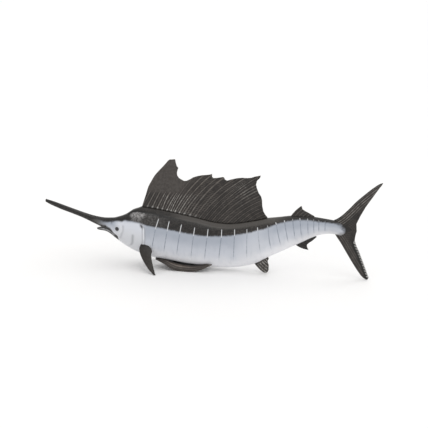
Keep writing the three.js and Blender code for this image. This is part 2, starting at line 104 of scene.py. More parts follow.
# Head details: the gill cover's edge as [z, s], and places as (s, z)
GILL_EDGE = [[6, 58.2], [9, 60.0], [12, 61.3], [15, 62.2], [19, 62.7], [24, 62.7], [26.5, 62.2], [29, 61.2]]
GILL_TOP = 26.6
PREOPERCLE = [[12.5, 52.6], [13.8, 54.2], [15.5, 55.3], [17.2, 55.6], [19, 55.8], [21.5, 56.0]]
CHEEK = [[16, 46.6], [18.5, 48.0], [20.7, 48.9], [22.7, 49.6], [25.3, 49.7]]
NOSTRIL = (42.1, 26.9)
GILL_NOTCH = (61.4, 26.3)
EYE = (46.1, 23.25)
EYE_RADIUS = 2.1
EYE_DEPTH = 1.5
EYE_BULGE = 0.45
EYE_TURN = 0.2

# Lower edge of the dark back and upper edge of the snout's dark underside, as [s, z]
BAND = [
    [29, 27.3], [32, 27.9], [34.7, 27.3], [37.2, 26.8], [39.3, 26.8], [42.4, 27.2], [45.5, 27.7],
    [48.8, 28.0], [50.5, 28.8], [54, 28.8], [58.3, 28.5], [61.7, 27.9], [64.2, 27.1], [69.7, 26.5],
    [76.7, 25.6], [84.1, 24.4], [91.4, 23.4], [98.4, 22.6], [104, 22.5], [107.4, 22.6], [114.1, 23.3],
    [120.9, 24.6], [126.6, 25.8], [130.7, 27.3], [135.6, 28.8], [142.2, 31.6], [148.8, 33.4], [154.9, 34.4],
    [159.8, 34.4], [167.6, 33.8], [175.2, 33.3], [177.4, 32.9], [179.2, 31.7], [180.4, 30.4], [181.6, 28.9],
    [181.8, 27.5],
]
TAIL_EDGE = [[174.4, 25.6], [175.8, 26.2], [177.6, 26.1], [179.2, 26.5], [180.6, 27.4], [181.6, 28.9]]
SNOUT_EDGE = [
    [29, 27.5], [31, 26.4], [34, 24.5], [37.8, 24.6], [39.3, 23.9], [41, 23.0], [42.1, 22.1], [43.1, 20.7],
    [44.4, 19.5], [46.0, 18.3], [46.4, 15],
]

# Crease under the lip's front end, as [s, z], painted black as shade
CREASE = [
    [52.6, 31.6], [53.4, 32.7], [54.8, 33.6], [56.6, 34.1], [59, 34.4], [61.1, 34.2], [64.5, 33.85],
    [68.4, 33.5], [72, 32.8], [80, 31.4], [86, 30.2],
]

# Painted lines across the flanks: s at the band's edge, lean above and below it in s per z, and the strength
# and length of the light tick above it, the length as [s, mm]
LINES = [
    70.3, 77.3, 84.8, 93.0, 101.1, 109.5, 117.2, 124.5, 130.8, 136.8, 141.5, 146.3, 151.0, 155.2, 159.7,
    163.2, 166.1, 169.8,
]
LEAN_ABOVE = [
    0.30, 0.16, 0.16, 0.10, 0.05, -0.06, -0.08, -0.10, -0.20, -0.42, -0.38, -0.20, -0.17, -0.30, -0.20,
    -0.15, -0.10, 0,
]
LEAN_BELOW = [
    0.20, 0.16, 0.15, 0.12, 0.12, 0.11, 0.03, 0, -0.13, -0.10, -0.21, -0.21, -0.16, -0.13, -0.06, -0.03,
    -0.03, 0,
]
TICK_STRENGTH = [1, 1, 1, 1, 1, 1, 1, 0.75, 1, 0.5, 1, 1, 0.45, 0.9, 0.65, 0.35, 0.3, 0.15]
TICK_LENGTH = [
    [60, 5.4], [77, 4.9], [93, 4.1], [109, 3.8], [117, 3.1], [125, 2.2], [133, 1.5], [151, 0.9], [170, 0.9],
]
LINE_HALF = 0.28

# How light the dark back is, as [s, factor]
BACK_TONE = [
    [0, 0.6], [15, 0.7], [30, 0.7], [40, 0.5], [50, 0.5], [60, 0.9], [95, 0.85], [110, 0.95], [120, 1.3],
    [138, 1.2], [146, 0.6], [184, 0.5],
]

# Sail: s of each ray's root, rough length and height, how deep its foot sits and the foot's share of a ray,
# leading edge as [s, z], and margin as [ray, s, z]
SAIL_RAYS = 24
SAIL_ROOTS = [
    60.4, 63.6, 66.7, 69.8, 72.8, 75.7, 78.1, 80.5, 83.0, 85.9, 89.4, 92.7, 95.3, 97.7, 100.1, 102.6, 105.3,
    108.4, 111.9, 115.6, 119.4, 123.3, 127.2, 131.3, 135.6,
]
SAIL_SIZE = (75, 30)
SAIL_FOOT_HALF = 0.6
SAIL_EDGE_HALF = 0.36
SAIL_FOOT_DEPTH = 1.1
SAIL_FOOT_SHARE = 0.035
SAIL_BOW = 0.05
SAIL_LEADING = [
    [60.4, 36.8], [61.8, 41.0], [63.0, 44.6], [64.5, 49.2], [66.5, 52.9], [68.4, 56.1], [70.7, 58.85],
    [73.1, 61.45], [75.1, 63.65], [76.6, 65.5],
]
SAIL_MARGIN = [
    [0.0, 76.6, 65.5], [0.5, 77.6, 66.25], [1.2, 79.0, 66.35], [1.8, 80.9, 66.6], [2.6, 81.4, 64.1],
    [3.13, 81.9, 62.4], [3.54, 82.8, 61.4], [3.9, 82.35, 60.2], [4.18, 81.95, 58.4], [4.35, 82.1, 56.9],
    [4.56, 83.1, 55.4], [4.76, 84.6, 54.5], [4.96, 86.1, 53.75], [5.28, 87.6, 53.85], [5.8, 89.6, 54.8],
    [6.18, 91.6, 56.1], [6.53, 94.5, 57.1], [6.82, 97.0, 57.65], [7.32, 99.9, 57.95], [7.68, 101.6, 58.25],
    [7.95, 102.8, 58.65], [8.07, 102.95, 58.1], [8.29, 102.85, 57.0], [8.53, 103.7, 56.2],
    [8.97, 105.8, 56.4], [9.82, 109.0, 57.05], [9.99, 109.8, 57.1], [10.25, 110.6, 55.6],
    [10.43, 111.8, 55.05], [10.78, 114.2, 55.85], [11.28, 117.6, 56.75], [11.67, 120.5, 57.15],
    [12.17, 123.5, 57.1], [12.85, 125.9, 57.35], [13.37, 128.0, 58.15], [14.08, 131.6, 59.05],
    [14.25, 131.2, 57.6], [14.63, 129.4, 55.7], [14.95, 128.9, 53.5], [15.63, 129.4, 51.3],
    [16.5, 130.5, 48.4], [17.2, 131.9, 46.5], [18.0, 132.5, 44.3], [19.7, 132.7, 40.5], [21.2, 133.4, 37.5],
    [22.22, 134.5, 35.6], [24.0, 135.9, 34.0],
]

# Fins in the middle plane: the outline they root in and how far from it, s of the first and last ray's root,
# half thickness at root and margin, and the margin as [ray, s, z]. bow bends the rays, lean the whole fin
# sideways, tone scales its colour, and bright lightens its crests as rubbed paint and painted highlight
SECOND_DORSAL = {
    "base": BACK, "sink": -1.1, "root": (148.8, 163.0), "half": (0.75, 0.35), "bow": 0.05, "lean": 0,
    "margin": [[0, 155.6, 42.2], [0.5, 156.0, 41.3], [1, 156.3, 40.2], [2, 157.8, 39.25], [3, 159.5, 38.45],
               [4.5, 161.6, 37.3], [6, 163.4, 36.4]],
    "rays": 6, "tone": 0.48, "bright": 0.25,
}
FIRST_ANAL = {
    "base": KEEL, "sink": 1.1, "root": (127.7, 136.2), "half": (0.8, 0.4), "bow": -0.05, "lean": -1.8,
    "margin": [[0, 133.8, 0.8], [0.5, 134.9, 0.45], [1, 136.2, 0.65], [2, 137.1, 2.2], [3.5, 137.2, 5.3],
               [4.5, 136.6, 7.0], [5, 136.5, 7.9], [6, 137.2, 9.5]],
    "rays": 6, "tone": 0.68, "bright": 1.0,
}
SECOND_ANAL = {
    "base": KEEL, "sink": 1.1, "root": (151.8, 163.9), "half": (0.75, 0.35), "bow": -0.08, "lean": 0,
    "margin": [[0, 160.2, 15.8], [0.5, 160.0, 16.4], [1, 159.4, 17.5], [2, 159.3, 18.8], [3, 160.4, 20.0],
               [4, 162.2, 21.3], [6, 165.0, 24.0]],
    "rays": 6, "tone": 0.16, "bright": 0.25,
}
MEDIAN_SIZE = (8, 6)

# Tail lobes: leading edge as [s, z] and margin as [ray, s, z]. The lower one has small teeth along its rear
LOBE_SIZE = (14, 32)
RAY_PITCH = 1.2
TAIL_HALF = (0.75, 0.4)
TAIL_ROOT_END = (184.0, 29.9)
UPPER_LOBE = {
    "edge": [[174.3, 34.5], [178.3, 37.1], [183.0, 41.8], [187.6, 47.0], [194.4, 53.4], [199.2, 57.3],
             [202, 58.7]],
    "margin": [[0, 202, 58.7], [0.5, 201.5, 57.3], [1, 200.3, 55.7], [2, 197.35, 51.1], [4, 192.75, 43.9],
               [5.4, 189.85, 38.3], [6.6, 187.7, 33.4], [7.2, 187.85, 31.5], [8, 187.95, 29.0]],
    "toothed": 0, "tone": 0.56, "bright": 0.8,
}
LOWER_LOBE = {
    "edge": [[174.4, 28.4], [176.4, 25.0], [179.1, 21.1], [183.5, 13.9], [187.8, 7.1], [191.6, 2.0],
             [194.2, 0.15]],
    "margin": [[0, 194.2, 0.15], [0.35, 195.2, 0.35], [0.7, 195.8, 1.3], [3, 193.4, 7.6], [4.2, 191.6, 12.1],
               [5, 189.7, 16.8], [5.8, 188.2, 19.8], [6.7, 187.0, 23.6], [7.3, 187.4, 26.6],
               [8, 188.1, 29.6]],
    "toothed": 1, "tone": 0.5, "bright": 0.15,
}
LOBE_SPAN = 8
TOOTH_PITCH = 1.64
TOOTH_START = 0.4
TOOTH_HEIGHT = 0.45

# Spacing of the small cross ribs on the sail and the tail
RUNG_PITCH = 1.3

# Paired fins, left side: the two edges as [s, y, z] from root to tip, half thickness at root and tip, and
# groove, 1 where a band of painted shade under the belly lies beside a painted highlight on a ridge
PAIRED_SIZE = (6, 24)
PECTORAL = {
    "front": [[60.6, -4.8, 15.1], [60.1, -7.0, 12.5], [61.4, -9.2, 9.4], [64.2, -12.0, 5.8],
              [67.5, -14.6, 2.5], [71.0, -16.8, 0.1]],
    "rear": [[65.6, -4.8, 14.3], [67.8, -7.0, 12.2], [68.0, -9.6, 9.9], [69.0, -12.0, 6.5],
             [70.4, -14.4, 3.4], [72.0, -16.8, 0.1]],
    "rays": 9, "half": (1.2, 0.5), "arch": 0, "tone": 0.55, "groove": 0,
}
PELVIC = {
    "front": [[69.0, -3.2, 5.8], [71.6, -5.0, 5.1], [75.2, -6.4, 3.7], [78.8, -7.1, 1.75], [82.4, -7.35, 0.5],
              [87.0, -7.4, 0.1], [91.4, -7.6, 0.2], [95.4, -7.2, 1.0], [99.2, -6.7, 2.4], [103.7, -6.2, 4.8]],
    "rear": [[69.4, -2.6, 5.6], [72.3, -2.0, 5.2], [76.4, -1.6, 4.8], [80.2, -1.4, 4.3], [84.0, -1.4, 3.8],
             [87.8, -1.6, 3.5], [92.2, -2.2, 3.4], [96.4, -3.2, 3.7], [100.2, -4.2, 4.35],
             [103.8, -5.9, 4.9]],
    "rays": 5, "half": (0.75, 0.45), "arch": 0.6, "tone": 1.05, "groove": 1,
}

# Photo's view: the point looked at, the camera's direction and distance, the lens and the sensor
VIEW_TARGET = Vector((3.25, 0.0, 34.4)) * MM
VIEW_AZIMUTH, VIEW_ELEVATION = math.radians(10), math.radians(16)
VIEW_DISTANCE = 0.7
LENS, SENSOR_WIDTH = 100, 36

# Studio: half the floor's side in metres, a wide sun for a softbox, and the room's even light
FLOOR_REACH = 3.0
SUN_DIRECTION = Vector((-0.6, -0.02, -1))
SUN_ENERGY, SUN_SPREAD = 1.53, math.radians(85)
ROOM_LIGHT = 0.71

# Paint
BACK_BLACK = (0.012, 0.0105, 0.0095)
BACK_PALE = (0.045, 0.039, 0.035)
LIP_HIGHLIGHT_BROWN = (0.085, 0.077, 0.070)
NAPE_GREY = (0.36, 0.35, 0.345)
CREASE_SHADE_BLACK = (0.006, 0.006, 0.006)
SNOUT_DARK = (0.08, 0.077, 0.073)
SILVER_BLUE = (0.395, 0.427, 0.49)
SILVER_LIGHT = (0.58, 0.605, 0.665)
STREAK_BLUE = (0.30, 0.36, 0.42)
BELLY_PALE = (0.82, 0.82, 0.85)
HEAD_PALE = (0.705, 0.715, 0.745)
HEAD_HIGHLIGHT = (0.75, 0.77, 0.83)
SHADE_GREY = (0.12, 0.125, 0.14)
GLEAM_WHITE = (0.84, 0.85, 0.87)
LINE_LIGHT = (0.75, 0.76, 0.78)
LINE_GREY = (0.19, 0.22, 0.28)
CHARCOAL = (0.021, 0.0165, 0.014)
CHARCOAL_PALE = (0.045, 0.0365, 0.031)
CHARCOAL_PLAIN = (0.068, 0.059, 0.053)
# Lighter charcoal: rubbed paint on margins and cross ribs, and on the ray crests partly painted highlight
CHARCOAL_WORN_AND_SHEEN = (0.2, 0.172, 0.15)
CREST_PALE = (0.50, 0.48, 0.45)
HIGHLIGHT_WHITE = (0.85, 0.83, 0.80)
PUPIL_BLACK = (0.010, 0.010, 0.013)
IRIS_GREY = (0.42, 0.44, 0.48)
IRIS_LIGHT = (0.62, 0.63, 0.66)
IRIS_RIM = (0.16, 0.17, 0.19)
FLOOR_WHITE = (0.938, 0.931, 0.923)


def smooth(points):
    """A smooth function of arrays through the given points, with no overshoot between them."""
    x, y = np.array(points, float).T
    slope = np.diff(y) / np.diff(x)
    tangent = np.empty_like(y)
    tangent[0], tangent[-1] = slope[0], slope[-1]
    product = slope[:-1] * slope[1:]
    total = np.where(product > 0, slope[:-1] + slope[1:], 1)
    tangent[1:-1] = np.where(product > 0, 2 * product / total, 0)

    def value(at):
        at = np.clip(at, x[0], x[-1])
        k = np.clip(np.searchsorted(x, at) - 1, 0, len(x) - 2)
        width = x[k + 1] - x[k]
        t = (at - x[k]) / width
        return ((2 * t**3 - 3 * t**2 + 1) * y[k] + (t**3 - 2 * t**2 + t) * width * tangent[k]
                + (3 * t**2 - 2 * t**3) * y[k + 1] + (t**3 - t**2) * width * tangent[k + 1])

    return value


def ramp(at, low, high):
    """0 below low, 1 above high, and smooth between."""
    t = np.clip((at - low) / (high - low), 0, 1)
    return t * t * (3 - 2 * t)


def fall(at, low, high):
    """1 below low, 0 above high, and smooth between."""
    return 1 - ramp(at, low, high)


def window(at, *edges):
    """Rises from 0 to 1 between the first two edges, and falls back between the last two."""
    return ramp(at, *edges[:2]) * fall(at, *edges[2:])


def mix(a, b, t):
    """a at 0, b at 1."""
    return a + (b - a) * t


def hill(distance, width):
    """1 at distance 0, and falling off on both sides over about the width."""
    return np.exp(-0.5 * (distance / width) ** 2)


def rounding(distance, radius):
    """A quarter circle's height: 0 at distance 0, and 1 from the radius on."""
    return np.sqrt(1 - (1 - np.clip(distance / radius, 0, 1)) ** 2)


back, keel, half_width = smooth(BACK), smooth(KEEL), smooth(HALF_WIDTH)
lip_height = smooth(LIP_HEIGHT)
gill_edge, preopercle, cheek_line = smooth(GILL_EDGE), smooth(PREOPERCLE), smooth(CHEEK)
band, tail_edge, snout_edge = smooth(BAND), smooth(TAIL_EDGE), smooth(SNOUT_EDGE)
crease_line, tick_length, back_tone = smooth(CREASE), smooth(TICK_LENGTH), smooth(BACK_TONE)


def middle(s):
    """Sideways place of the body's middle plane."""
    head = np.maximum(0, (HEAD_BEND_START - s) / HEAD_BEND_RUN)
    tail = np.maximum(0, (s - TAIL_BEND_START) / TAIL_BEND_RUN)
    return BEND * head**2 - BEND * tail**2


def place_mm(s, y, z):
    """Points in the frame, in metres, from s, y and z in millimetres, none of them below the floor."""
    s, y, z = np.broadcast_arrays(s, y, z)
    return np.stack([s + NOSE - LENGTH / 2, y, np.maximum(z, 0.0)], axis=-1) * MM


def weld(points, faces):
    """Merges points that coincide, and drops the faces' repeated corners."""
    keys = np.round(points / WELD_DISTANCE).astype(np.int64)
    _, first, index = np.unique(keys, axis=0, return_index=True, return_inverse=True)
    index = index.reshape(-1)
    merged = []
    for face in index[faces].tolist():
        corners = [c for k, c in enumerate(face) if c != face[k - 1]]
        if len(corners) == len(set(corners)) >= 3:
            merged.append(corners)
    return points[first], merged, first


def grid_faces(rows, columns, start=0, closed=False):
    """Quads of a grid of points, row by row; closed joins each row's end to its start."""
    i, j = np.indices((rows - 1, columns if closed else columns - 1))
    nxt = (j + 1) % columns
    row, below = i * columns, (i + 1) * columns
    return np.stack([row + j, row + nxt, below + nxt, below + j], axis=-1).reshape(-1, 4) + start


def point_out(mesh):
    """Turns the faces so that the closed mesh's volume is positive."""
    solid = bmesh.new()
    solid.from_mesh(mesh)
    if solid.calc_volume(signed=True) < 0:
        mesh.flip_normals()
    solid.free()


def add_object(name, data):
    """A new object in the scene."""
    added = bpy.data.objects.new(name, data)
    bpy.context.scene.collection.objects.link(added)
    return added


def make_object(name, points, faces, attributes, material):
    """A smooth mesh object from welded points, with float attributes for its material."""
    points, faces, first = weld(points, faces)
    mesh = bpy.data.meshes.new(name)
    mesh.from_pydata(points.tolist(), [], faces)
    mesh.update()
    for key, values in attributes.items():
        layer = mesh.attributes.new(key, "FLOAT", "POINT")
        layer.data.foreach_set("value", np.asarray(values, float).reshape(-1)[first])
    mesh.shade_smooth()
    mesh.materials.append(material)
    point_out(mesh)
    return add_object(name, mesh)


def opaque(colour):
    """A colour with full alpha, or the socket that gives one."""
    return colour if isinstance(colour, bpy.types.NodeSocket) else (*colour, 1)


class Nodes:
    """Short calls for a material's node tree."""

    def __init__(self, name):
        self.material = bpy.data.materials.new(name)
        self.material.use_nodes = True
        self.tree = self.material.node_tree
        self.shader = self.tree.nodes["Principled BSDF"]

    def new(self, kind, inputs=(), **settings):
        node = self.tree.nodes.new(kind)
        for key, value in settings.items():
            setattr(node, key, value)
        for key, value in dict(inputs).items():
            self.feed(node.inputs[key], value)
        return node

    def feed(self, socket, value):
        if isinstance(value, bpy.types.NodeSocket):
            self.tree.links.new(value, socket)
        else:
            socket.default_value = value

    def read(self, name):
        """The mesh's values of that name."""
        return self.new("ShaderNodeAttribute", attribute_name=name).outputs["Fac"]

    def position(self):
        return self.new("ShaderNodeTexCoord").outputs["Object"]

    def stretched(self, scale):
        return self.new("ShaderNodeMapping", {"Vector": self.position(), "Scale": scale}).outputs["Vector"]

    def noise(self, size_mm, detail, vector=None):
        inputs = {"Vector": vector or self.position(), "Scale": 1 / (size_mm * MM), "Detail": detail}
        return self.new("ShaderNodeTexNoise", inputs).outputs["Fac"]

    def math(self, operation, a, b=0.0):
        return self.new("ShaderNodeMath", {0: a, 1: b}, operation=operation).outputs[0]

    def add(self, a, b):
        return self.math("ADD", a, b)

    def times(self, a, b):
        return self.math("MULTIPLY", a, b)

    def wobble(self, size_mm, detail, amount):
        """Noise around 0, amount in all."""
        return self.times(self.math("SUBTRACT", self.noise(size_mm, detail), 0.5), amount)

    def off_half(self, value):
        """How far the value's fraction is from a half."""
        return self.math("ABSOLUTE", self.math("SUBTRACT", self.math("FRACT", value), 0.5))

    def off_whole(self, value):
        """How far the value is from the nearest whole number."""
        return self.off_half(self.add(value, 0.5))

    def ramp(self, value, low, high, to_low=0.0, to_high=1.0):
        inputs = {"Value": value, "From Min": low, "From Max": high, "To Min": to_low, "To Max": to_high}
        return self.new("ShaderNodeMapRange", inputs, interpolation_type="SMOOTHSTEP").outputs["Result"]

    def scaled(self, colour, factor):
        inputs = {0: colour, "Scale": factor}
        return self.new("ShaderNodeVectorMath", inputs, operation="SCALE").outputs["Vector"]

    def colour(self, a, b, factor):
        """a at factor 0 and b at 1. The mix node's colour sockets come after those for floats and vectors."""
        node = self.new("ShaderNodeMix", data_type="RGBA")
        self.feed(node.inputs[0], factor)
        self.feed(node.inputs[6], opaque(a))
        self.feed(node.inputs[7], opaque(b))
        return node.outputs[2]

    def bump(self, height, distance_mm, strength, normal=None):
        inputs = {"Height": height, "Distance": distance_mm * MM, "Strength": strength}
        if normal:
            inputs["Normal"] = normal
        return self.new("ShaderNodeBump", inputs).outputs["Normal"]

    def finish(self, base, roughness, normal=None, **constants):
        self.feed(self.shader.inputs["Base Color"], opaque(base))
        self.feed(self.shader.inputs["Roughness"], roughness)
        if normal:
            self.feed(self.shader.inputs["Normal"], normal)
        for key, value in constants.items():
            self.shader.inputs[key.replace("_", " ")].default_value = value
        return self.material


def painted_body():
    """Sprayed silver-blue flanks and pale belly, a charcoal back with a soft edge, and thin lines."""
    n = Nodes("painted_body")
    dark, height, phase, tick = (n.read(k) for k in ("dark", "height", "line", "tick"))
    spray = n.add(n.add(dark, n.wobble(2.0, 4, 1.1)), n.wobble(0.45, 2, 0.8))
    is_dark = n.ramp(spray, -0.85, 0.6)
    on_line = n.ramp(n.math("DIVIDE", n.off_whole(phase), n.read("line_half")), 0.5, 1.1, 1.0, 0.0)

    level = n.add(height, n.wobble(9.0, 3, 0.35))
    silver = n.colour(BELLY_PALE, SILVER_LIGHT, n.ramp(level, 0.1, 0.5))
    silver = n.colour(silver, SILVER_BLUE, n.ramp(level, 0.45, 0.9))
    streaks = n.noise(2.2, 4, n.stretched((1.0, 1.0, 0.35)))
    silver = n.colour(silver, n.colour(silver, STREAK_BLUE, 0.5), n.ramp(streaks, 0.5, 0.8, 0.0, 0.45))
    grey_part = n.times(on_line, n.ramp(height, 0.22, 0.5))
    silver = n.colour(silver, LINE_GREY, n.times(grey_part, n.ramp(n.noise(1.6, 2), 0.3, 0.6, 0.35, 0.8)))
    # Pale head behind the eye: its own lighter paint, turning lighter toward the top as a painted highlight
    pale = n.colour(HEAD_PALE, HEAD_HIGHLIGHT, n.ramp(height, 0.5, 0.9))
    silver = n.colour(silver, pale, n.read("pale"))
    silver = n.colour(silver, SHADE_GREY, n.read("shade"))
    silver = n.colour(silver, GLEAM_WHITE, n.read("gleam"))
    silver = n.colour(SNOUT_DARK, silver, n.read("snout"))

    black = n.colour(BACK_BLACK, BACK_PALE, n.ramp(n.noise(0.9, 4), 0.35, 0.75))
    black = n.scaled(black, n.read("back_tone"))
    # Painted highlight on the lip beside the sail
    black = n.colour(black, LIP_HIGHLIGHT_BROWN, n.times(n.read("lip"), 0.85))
    patch = n.times(n.read("nape"), n.ramp(n.noise(1.1, 5), 0.40, 0.60, 0.30, 1.0))
    black = n.colour(black, NAPE_GREY, patch)
    # Painted shade in the crease under the lip
    black = n.colour(black, CREASE_SHADE_BLACK, n.read("crease"))

    paint = n.colour(silver, black, is_dark)
    ticked = n.times(n.ramp(tick, -0.35, -0.1), n.ramp(tick, 0.8, 1.05, 1.0, 0.0))
    light_part = n.times(n.times(on_line, ticked), n.read("tick_part"))
    paint = n.colour(paint, LINE_LIGHT, n.times(light_part, 0.9))
    normal = n.bump(n.noise(1.1, 4), 0.10, 0.5)
    normal = n.bump(n.math("SUBTRACT", 1.0, on_line), 0.08, 0.8, normal)
    rough = n.ramp(n.noise(1.8, 3), 0.3, 0.7, 0.34, 0.46)
    return n.finish(paint, rough, normal, Specular_IOR_Level=0.42)


def fin_plastic(name, line_half, wear_and_sheen, edge_start=0.93):
    """Charcoal plastic with ray crests paler from rubbed paint and painted highlight. ray counts the crests,
    reach runs from root to margin.
    """
    n = Nodes(name)
    to_ray = n.off_whole(n.read("ray"))
    crest = n.times(n.ramp(to_ray, line_half * 0.4, line_half * 1.25, 1.0, 0.0), n.read("shown"))
    fine = n.ramp(to_ray, 0.5 - line_half * 0.75, 0.5 - line_half * 0.35)
    crest = n.math("MAXIMUM", crest, n.times(fine, n.read("fine")))

    base = n.colour(CHARCOAL, CHARCOAL_PALE, n.ramp(n.noise(1.0, 5), 0.3, 0.75))
    plain = n.times(n.read("smooth_part"), n.ramp(n.noise(1.4, 4), 0.35, 0.65, 0.45, 1.0))
    base = n.colour(base, CHARCOAL_PLAIN, plain)
    # Paler crests: partly rubbed paint and partly painted highlight on the raised rays
    crest_wear_and_sheen = n.times(crest, n.ramp(n.noise(2.5, 3), 0.25, 0.7, 0.45, 1.0))
    dotted = n.times(crest_wear_and_sheen, n.ramp(n.noise(1.1, 2), 0.42, 0.58, 0.25, 1.0))
    base = n.colour(base, CHARCOAL_WORN_AND_SHEEN, n.times(crest_wear_and_sheen, wear_and_sheen))
    base = n.colour(base, CREST_PALE, n.times(dotted, n.read("bright")))
    base = n.colour(base, CHARCOAL_WORN_AND_SHEEN, n.ramp(n.read("reach"), edge_start, 1.0, 0.0, 0.25))
    rung = n.ramp(n.off_half(n.math("DIVIDE", n.read("along"), RUNG_PITCH)), 0.1, 0.3, 1.0, 0.0)
    rungs = n.times(rung, n.times(n.read("rungs"), 0.4))
    base = n.colour(base, CHARCOAL_WORN_AND_SHEEN, n.times(rungs, n.ramp(n.noise(5.0, 3), 0.42, 0.58)))
    base = n.scaled(base, n.read("tone"))
    # Painted highlights: dots at the sail's foot and marks on the tail's teeth
    base = n.colour(base, HIGHLIGHT_WHITE, n.read("painted_highlight"))

    normal = n.bump(n.noise(0.8, 4), 0.06, 0.6)
    rough = n.ramp(n.noise(2.0, 3), 0.3, 0.7, 0.36, 0.5)
    return n.finish(base, rough, normal, Specular_IOR_Level=0.4)


def eye_paint():
    """Black pupil in a silver iris, under a glossy varnish. radial runs from the middle to the rim."""
    n = Nodes("eye_gloss")
    radial = n.read("radial")
    iris = n.colour(IRIS_GREY, IRIS_LIGHT, n.ramp(n.noise(0.5, 3), 0.3, 0.7))
    iris = n.colour(iris, IRIS_RIM, n.ramp(radial, 0.88, 0.99, 0.0, 0.7))
    paint = n.colour(PUPIL_BLACK, iris, n.ramp(radial, 0.54, 0.62))
    return n.finish(paint, 0.2, Coat_Weight=0.4, Coat_Roughness=0.08)


def section(s, angles):
    """Sideways places and heights of the body's rings, before the lip and the groove."""
    low, high = keel(s), back(s) - lip_height(s)
    level = mix(low, high, WIDEST_LEVEL)
    across, up = (np.sign(c) * np.abs(c) ** (2 / FULLNESS) for c in (np.cos(angles), np.sin(angles)))
    return half_width(s) * across, level + up * np.where(up > 0, high - level, level - low)


def skin_stations():
    """Places of the skin's rings, closest at both ends, at the mouth and over the gills."""
    head_start, gills_end, trunk_end = 30, 66, 183.2
    nose = NOSE * np.array([-1, -0.96, -0.85, -0.6, -0.3, 0])
    bill = np.arange(0.6, head_start, 0.8)
    head = np.linspace(head_start, MOUTH_END, 50)
    gills = np.arange(MOUTH_END, gills_end, 0.33)[1:]
    trunk = np.arange(gills_end, trunk_end, 0.5)
    end = TAIL_END - np.array([TAIL_ROUND, 0.9, 0.6, 0.35, 0.15, 0.04, 0])
    return np.concatenate([nose, bill, head, gills, trunk, end])


def ring_angles():
    """Angles of the arc from one mouth corner over the back to the other, and of the arc below."""
    shoulder, ridge = 62, 82
    flank = np.linspace(CORNER_ANGLE, math.radians(shoulder), 46)
    crown = np.concatenate([np.linspace(shoulder, ridge, 26)[1:], np.linspace(ridge, 90, 9)[1:]])
    side = np.concatenate([flank, np.radians(crown)])
    upper = np.concatenate([side, math.pi - side[-2::-1]])
    lower = np.linspace(math.pi - CORNER_ANGLE, 2 * math.pi + CORNER_ANGLE, 44)[1:-1]
    return upper, lower


def dress_top(s, y, z):
    """Raises the lip and sinks the groove along the sail's foot."""
    top = z > mix(keel(s), back(s), 0.7)
    beside = np.abs(y)
    lift = lip_height(s) * fall(beside, LIP_TOP, LIP_FOOT)
    front, rear = SAIL_ROOTS[0], SAIL_ROOTS[-1]
    inside = window(s, front - 1.0, front - 0.4, rear + 0.3, rear + 0.9)
    dip = GROOVE_DEPTH * inside * fall(beside, GROOVE_HALF - 0.1, GROOVE_HALF + 0.15)
    return np.where(top, z + lift - dip, z)


def body_skin():
    """One skin for bill, head, lower jaw, trunk and tail stalk, with the mouth as a slit between two arcs.

    Gives the points before the body's bend, the placed points, the faces, and 1 for the lower jaw's points.
    """
    upper, lower = ring_angles()
    stations = skin_stations()
    s = stations[:, None]
    shrink = rounding(s + NOSE, NOSE) * rounding(TAIL_END - s, TAIL_ROUND)
    outer_y, outer_z = section(s, upper[None])
    outer_z = dress_top(s, outer_y, outer_z)
    under_y, under_z = section(s, lower[None])
    centre_z = mix(keel(s), back(s), WIDEST_LEVEL)

    across = np.linspace(-1, 1, len(lower) + 2)[None, 1:-1]
    flat = ramp(s, ROOF_START, ROOF_FULL) * (s <= MOUTH_END)
    roof_y, roof_z = outer_y[:, :1] * across, outer_z[:, :1] + ROOF_ARCH * (1 - across**2)
    ring_y = np.concatenate([outer_y, mix(under_y, roof_y, flat)], axis=1) * shrink
    ring_z = np.concatenate([outer_z, mix(under_z, roof_z, flat)], axis=1)
    ring_z = centre_z + (ring_z - centre_z) * shrink

    mouth = int(np.argmin(np.abs(stations - MOUTH_END)))
    front = [values[: mouth + 1] for values in (stations, ring_y, ring_z)]
    rear = [values[mouth:].copy() for values in (stations, ring_y, ring_z)]
    rear[1][0] = np.concatenate([outer_y[mouth], under_y[mouth]])
    rear[2][0] = np.concatenate([outer_z[mouth], under_z[mouth]])
    jaw = lower_jaw(*(rings[mouth] for rings in (outer_y, outer_z, under_y, under_z, roof_y, roof_z)))

    blocks, faces, start = [], [], 0
    for at, y, z in (front, rear, jaw):
        blocks.append(np.stack([np.broadcast_to(at[:, None], y.shape), y, z], axis=-1).reshape(-1, 3))
        faces.append(grid_faces(len(at), y.shape[1], start, closed=True))
        start += y.size
    flat_points = np.concatenate(blocks)
    is_jaw = np.zeros(len(flat_points))
    is_jaw[-jaw[1].size:] = 1
    s, y, z = flat_points.T
    return flat_points, place_mm(s, y + middle(s), z), np.concatenate(faces), is_jaw


